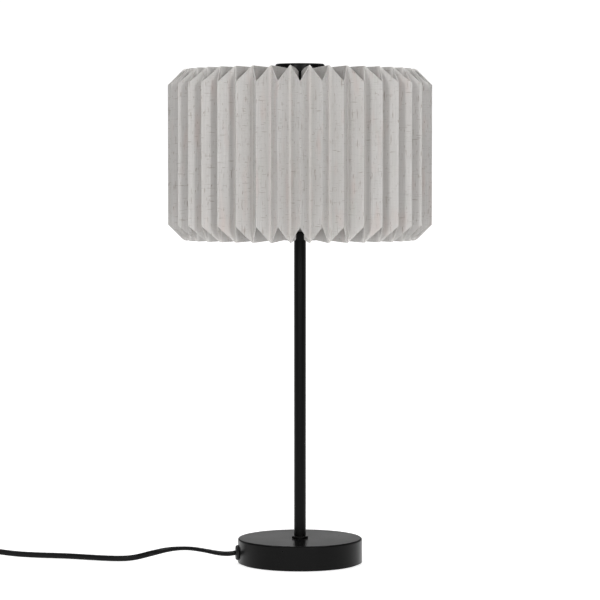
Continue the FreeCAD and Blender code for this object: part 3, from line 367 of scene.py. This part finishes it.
# ---- The bulb: a small frosted globe on a white collar, with a nickel plated screw cap and tip.
# The pins of the plug have the same plating.
nickel = Finish("nickel_plate", (0.72, 0.71, 0.69), 0.22, 1.0)
nickel_cloud = nickel.noise(300, 3)
nickel.rough(nickel_cloud * 0.2 + 0.15)
nickel.colour(nickel.mixed(nickel_cloud, (0.66, 0.65, 0.63), (0.78, 0.77, 0.74)))
nickel.cover(node["bulb_screw_cap"], node["bulb_tip"], node["plug_pins"])

frosted = Finish("frosted_glass", (0.90, 0.90, 0.88), 0.45, Coat_Weight=0.3)
frosted.colour(frosted.mixed(frosted.noise(60, 2), (0.88, 0.88, 0.86), (0.93, 0.93, 0.91)))
frosted.cover(node["bulb_globe"])
collar_white = Finish("white_moulding", (0.84, 0.84, 0.82), 0.35)
collar_white.rough(collar_white.noise(200, 2) * 0.15 + 0.28)
collar_white.cover(node["bulb_collar"])

# ---- The switch on the lead and the plug at its end: moulded in black plastic with a soft gloss
# and the fine grain of a sparked mould.
moulded = Finish("black_moulding", (0.012, 0.012, 0.012), 0.34, Specular_IOR_Level=0.3)
moulded_cloud = moulded.noise(350, 3)
moulded.colour(moulded.mixed(moulded_cloud, (0.009, 0.009, 0.0095), (0.016, 0.016, 0.0165)))
moulded.rough(moulded_cloud * 0.14 + 0.28)
moulded.bump(moulded.noise(2500, 2), 0.00003)
moulded.cover(*[node[name] for name in (
    "switch_lower_shell", "switch_upper_shell", "switch_rocker", "plug_body")])

# ---- The shade: three strips of stiff off-white laminated paper, folded and glued up into a ring of
# thirty-nine pleats. Each pleat has a low outward ridge and two long fins that run in to the hub.
# The edges are trimmed aslant at the ridges, which gives the rims their points.
pleats = 39
half_step = math.pi / pleats
ridge, valley, fin_end = 0.1321, 0.1161, 0.0160
paper = 0.0004
shade_top, shade_bottom = 0.4944, 0.3244
rim_slant = 0.0162
bend_radius, pinch_radius = 0.0570, 0.0264
bend_drop, pinch_drop, foot_rise = 0.0005, 0.0018, 0.0018
room_radius, room_top = 0.0540, 0.4824
spare, near = 0.002, 1e-5


def crossing(point, along, other, heading):
    """Where the line from point along one heading meets the line from other along another."""
    across = along.x * heading.y - along.y * heading.x
    gap = other - point
    return point + along * ((gap.x * heading.y - gap.y * heading.x) / across)


def fold_places():
    """Where the middle of the paper turns, seen from above, for the pleat that points along +X."""
    peak = Vector((ridge, 0, 0))
    places = []
    for side in (-1, 1):
        fin = Vector((math.cos(half_step), side * math.sin(half_step), 0))
        inward = Vector((math.sin(half_step), -side * math.cos(half_step), 0)) * (paper / 2)
        roof = (peak - fin * valley).normalized()
        under = Vector((-abs(roof.y), -side * abs(roof.x), 0)).normalized() * (paper / 2)
        corner = crossing(inward, fin, fin * valley + under, roof)
        crest = crossing(Vector(), Vector((1, 0, 0)), fin * valley + under, roof)
        places.append((inward + fin * fin_end, corner, crest))
    (left_end, left_corner, crest), (right_end, right_corner, _) = places
    return [left_end, left_corner, crest, right_corner, right_end]


def deselect():
    """Leaves edit mode and lets go of all pieces."""
    if bpy.context.object and bpy.context.object.mode == "EDIT":
        bpy.ops.object.mode_set(mode="OBJECT")
    bpy.ops.object.select_all(action="DESELECT")


def trim(point, normal, keep=False):
    """Cuts the piece in edit mode through a plane and drops what lies on the normal's side, or only
    scores it where keep is set."""
    bpy.ops.mesh.select_all(action="SELECT")
    bpy.ops.mesh.bisect(plane_co=point, plane_no=normal, clear_outer=not keep, clear_inner=False)


# One pleat is folded up from its first fin, panel by panel.
places = fold_places()
deselect()
bpy.ops.mesh.primitive_plane_add(size=1.0, location=(0, 0, 0))
pleat = bpy.context.object
pleat.name = "pleated_shade"
bpy.ops.object.mode_set(mode="EDIT")
strip = bmesh.from_edit_mesh(pleat.data)
for vertex in strip.verts:
    side = places[0] if vertex.co.x < 0 else places[1]
    height = shade_bottom - spare if vertex.co.y < 0 else shade_top + spare
    vertex.co = (side.x, side.y, height)
for here, there in zip(places[1:], places[2:]):
    bpy.ops.mesh.select_all(action="DESELECT")
    bpy.ops.mesh.select_mode(type="EDGE")
    strip = bmesh.from_edit_mesh(pleat.data)
    for edge in strip.edges:
        edge.select_set(all((vertex.co.xy - here.xy).length < near for vertex in edge.verts))
    bmesh.update_edit_mesh(pleat.data)
    bpy.ops.mesh.extrude_edges_move(TRANSFORM_OT_translate={"value": there - here})

# Its rims are cut aslant at the ridge, the fins' upper edge falls a little to the hub and their
# lower edge rises a little, and the room for the bulb is cut out of the fins.
flat_reach = valley * math.cos(half_step)
fin_run = flat_reach - bend_radius
slope = Vector((rim_slant, 0, ridge - flat_reach)).normalized()
trim((flat_reach, 0, shade_top), slope)
trim((flat_reach, 0, shade_bottom), (slope.x, 0, -slope.z))
bend = (bend_radius, 0, shade_top - bend_drop)
trim(bend, Vector((-bend_drop, 0, fin_run)).normalized())
trim(bend, Vector((-pinch_drop, 0, bend_radius - pinch_radius)).normalized())
trim((bend_radius, 0, shade_bottom + foot_rise), Vector((-foot_rise, 0, -fin_run)).normalized())
trim((room_radius, 0, 0), (1, 0, 0), keep=True)
trim((0, 0, room_top), (0, 0, 1), keep=True)
strip = bmesh.from_edit_mesh(pleat.data)
unwanted = [face for face in strip.faces
            if face.calc_center_median().x < room_radius and face.calc_center_median().z < room_top]
bmesh.ops.delete(strip, geom=unwanted, context="FACES")
bmesh.update_edit_mesh(pleat.data)
bpy.ops.object.mode_set(mode="OBJECT")

# The map "weave" is the strip laid flat, in metres. The map "folds" gives, in metres too, how far
# a point is from the valley at the foot of its panel.
weave_map = pleat.data.uv_layers.new(name="weave")
fold_map = pleat.data.uv_layers.new(name="folds")
pleat.data.uv_layers.active = weave_map
panel_starts = [0.0]
for here, there in zip(places, places[1:]):
    panel_starts.append(panel_starts[-1] + (there - here).length)
for face in pleat.data.polygons:
    for number, (here, there) in enumerate(zip(places, places[1:])):
        length, direction = (there - here).length, (there - here).normalized()
        if abs((face.center - here).cross(direction).z) > near / 10:
            continue
        for corner in face.loop_indices:
            point = pleat.data.vertices[pleat.data.loops[corner].vertex_index].co
            along = (Vector((point.x, point.y, 0)) - here).dot(direction)
            weave_map.data[corner].uv = (panel_starts[number] + along, point.z)
            starts_at_valley = number in (1, 3)
            fold_map.data[corner].uv = (along if starts_at_valley else length - along, number)

# The pleat is copied round, joined up, given the paper's thickness and softened at its folds.
copies = [pleat]
for number in range(1, pleats):
    copy = pleat.copy()
    copy.data = pleat.data.copy()
    bpy.context.scene.collection.objects.link(copy)
    for loop in copy.data.uv_layers["weave"].data:
        loop.uv.x += number * panel_starts[-1]
    copies.append(copy)
for number, copy in enumerate(copies):
    copy.data.transform(Matrix.Rotation(-math.pi / 2 + number * 2 * half_step, 4, "Z"))
deselect()
for copy in copies:
    copy.select_set(True)
shade = pleat
bpy.context.view_layer.objects.active = shade
bpy.ops.object.join()
thickness = shade.modifiers.new("paper_thickness", "SOLIDIFY")
thickness.thickness = paper * 0.96
thickness.offset = 0.0
thickness.use_even_offset = True
rounding = shade.modifiers.new("soft_folds", "BEVEL")
rounding.width = 0.00035
rounding.segments = 2
rounding.limit_method = "ANGLE"
rounding.angle_limit = math.radians(25)
for modifier in list(shade.modifiers):
    bpy.ops.object.modifier_apply(modifier=modifier.name)
bpy.ops.object.shade_smooth_by_angle(angle=math.radians(20))

# The paper has a printed look of woven thread: a streaky warp, a fainter weft, drifting tints of
# grey, pink and green, and short dark slubs. A painted highlight makes it lighter along the valleys.
paper_finish = Finish("woven_look_paper", (0.62, 0.59, 0.55), 0.88)
paper_finish.unwrapped("weave")
warp = paper_finish.noise(1.0, 3, (900, 30, 1), 0.6)
weft = paper_finish.noise(1.0, 2, (40, 1300, 1), shift=(5, 1, 0))
clouds = paper_finish.noise(1.0, 2, (30, 12, 1), shift=(2, 6, 0))
blush = paper_finish.noise(1.0, 2, (90, 22, 1), shift=(8, 4, 0))
moss = paper_finish.noise(1.0, 2, (80, 26, 1), shift=(4, 9, 0))
slubs = paper_finish.noise(1.0, 2, (560, 130, 1), shift=(3, 7, 0))
short_threads = paper_finish.noise(1.0, 2, (620, 70, 1), shift=(1, 12, 0))
cross_threads = paper_finish.noise(1.0, 2, (90, 800, 1), shift=(9, 2, 0))
ground = paper_finish.mixed(warp.above(0.25, 0.75), (0.508, 0.496, 0.484), (0.630, 0.617, 0.603))
ground = paper_finish.mixed(clouds.above(0.40, 0.7) * 0.5, ground, (0.53, 0.51, 0.49))
ground = paper_finish.mixed(blush.above(0.55, 0.75) * 0.5, ground, (0.575, 0.485, 0.455))
ground = paper_finish.mixed(moss.above(0.58, 0.8) * 0.4, ground, (0.50, 0.52, 0.475))
ground = paper_finish.mixed(weft.above(0.52, 0.75) * 0.35, ground, (0.43, 0.415, 0.40))
ground = paper_finish.mixed(slubs.above(0.67, 0.72) * 0.65, ground, (0.26, 0.20, 0.17))
ground = paper_finish.mixed(short_threads.above(0.64, 0.70) * 0.6, ground, (0.27, 0.22, 0.19))
ground = paper_finish.mixed(cross_threads.above(0.64, 0.70) * 0.6, ground, (0.29, 0.25, 0.22))
paper_finish.unwrapped("folds")
# Painted highlight: the paper's colour is lightened within about 5 mm of each valley fold, where the
# soft folds catch the light.
painted_valley_highlight = 1 - paper_finish.coordinate(0).above(0.0, 0.0052)
ground = paper_finish.mixed(painted_valley_highlight * painted_valley_highlight * 0.85, ground, (0.82, 0.805, 0.785))
paper_finish.colour(ground)
paper_finish.bump(warp + weft * 0.5 - slubs.above(0.66, 0.74) * 0.4, 0.00012, 0.6)
paper_finish.cover(shade)
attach(shade, "shade")
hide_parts("paper_front", "paper_right", "paper_left")

# ---- The studio: a table top and a background card that are lit to an even white where the
# camera looks, a large soft light at the camera and one overhead, and a small soft key light to
# each side, crossed over, so that each lights the pleats of the far half of the shade and throws
# the shadow of each ridge into the fold behind it.
deselect()
bpy.ops.mesh.primitive_plane_add(size=1.0, location=(0, 0, 0))
table = bpy.context.object
table.name = "studio_table"
table.data.transform(Matrix.Diagonal((60.0, 60.0, 1.0, 1.0)))
table.data.transform(Matrix.Translation((0, 8.0, -0.0003)))
table_finish = Finish("white_table", (0.5, 0.5, 0.5), 0.9)
beside_lamp = table_finish.coordinate(1).above(-0.75, -0.42)
beyond_lamp = table_finish.coordinate(1).above(0.6, 3.0)
near_glow = table_finish.mixed(beside_lamp, (0.35, 0.35, 0.35), (0.82, 0.82, 0.82))
table_finish.glow(table_finish.mixed(beyond_lamp, near_glow, (1.0, 1.0, 1.0)))
table_finish.cover(table)

bpy.ops.mesh.primitive_plane_add(size=1.0, location=(0, 0, 0))
card = bpy.context.object
card.name = "studio_card"
card.data.transform(Matrix.Diagonal((60.0, 24.0, 1.0, 1.0)))
card.data.transform(Matrix.Rotation(math.radians(90), 4, "X"))
card.data.transform(Matrix.Translation((0, 12.0, 11.0)))
card_finish = Finish("white_card", (0.1, 0.1, 0.1), 0.9)
across = card_finish.coordinate(0)
unlit = card_finish.coordinate(2).above(1.45, 2.4) + (across * across).above(4.0, 12.0)
card_finish.glow(card_finish.mixed(unlit.above(0.0, 1.0), (1.0, 1.0, 1.0), (0.12, 0.12, 0.12)))
card_finish.cover(card)


def aimed(name, lamp, place, aim):
    """Hangs a lamp at a place and points it at another."""
    holder = bpy.data.objects.new(name, lamp)
    holder.location = place
    direction = Vector(aim) - Vector(place)
    holder.rotation_euler = direction.to_track_quat("-Z", "Y").to_euler()
    bpy.context.scene.collection.objects.link(holder)


def soft_light(name, place, aim, size, power):
    lamp = bpy.data.lights.new(name, "AREA")
    lamp.shape = "RECTANGLE"
    lamp.size, lamp.size_y = size
    lamp.energy = power
    aimed(name, lamp, place, aim)


soft_light("camera_softbox", place=(0, -3.2, 0.90), aim=(0, 0, 0.35), size=(4.4, 1.6), power=21)
soft_light("overhead_softbox", place=(0, 0.3, 2.2), aim=(0, 0.3, 0), size=(2.4, 2.0), power=54)
key_bearing, key_distance, key_height = math.radians(19.5), 2.9, 0.95
aim_past_middle, aim_height = 0.5, 0.41
for side, name in ((-1, "left_key"), (1, "right_key")):
    key = bpy.data.lights.new(name, "SPOT")
    key.energy = 104
    key.spot_size = math.radians(21)
    key.spot_blend = 0.15
    key.shadow_soft_size = 0.22
    sideways, forward = side * math.sin(key_bearing), -math.cos(key_bearing)
    aimed(name, key, (key_distance * sideways, key_distance * forward, key_height),
          (aim_past_middle * side * forward, -aim_past_middle * abs(sideways), aim_height))
world = bpy.data.worlds.new("dim_room")
bpy.context.scene.world = world
world.use_nodes = True
world.node_tree.nodes["Background"].inputs["Color"].default_value = (1, 1, 1, 1)
world.node_tree.nodes["Background"].inputs["Strength"].default_value = 0.14
bpy.context.scene.view_settings.view_transform = "Standard"
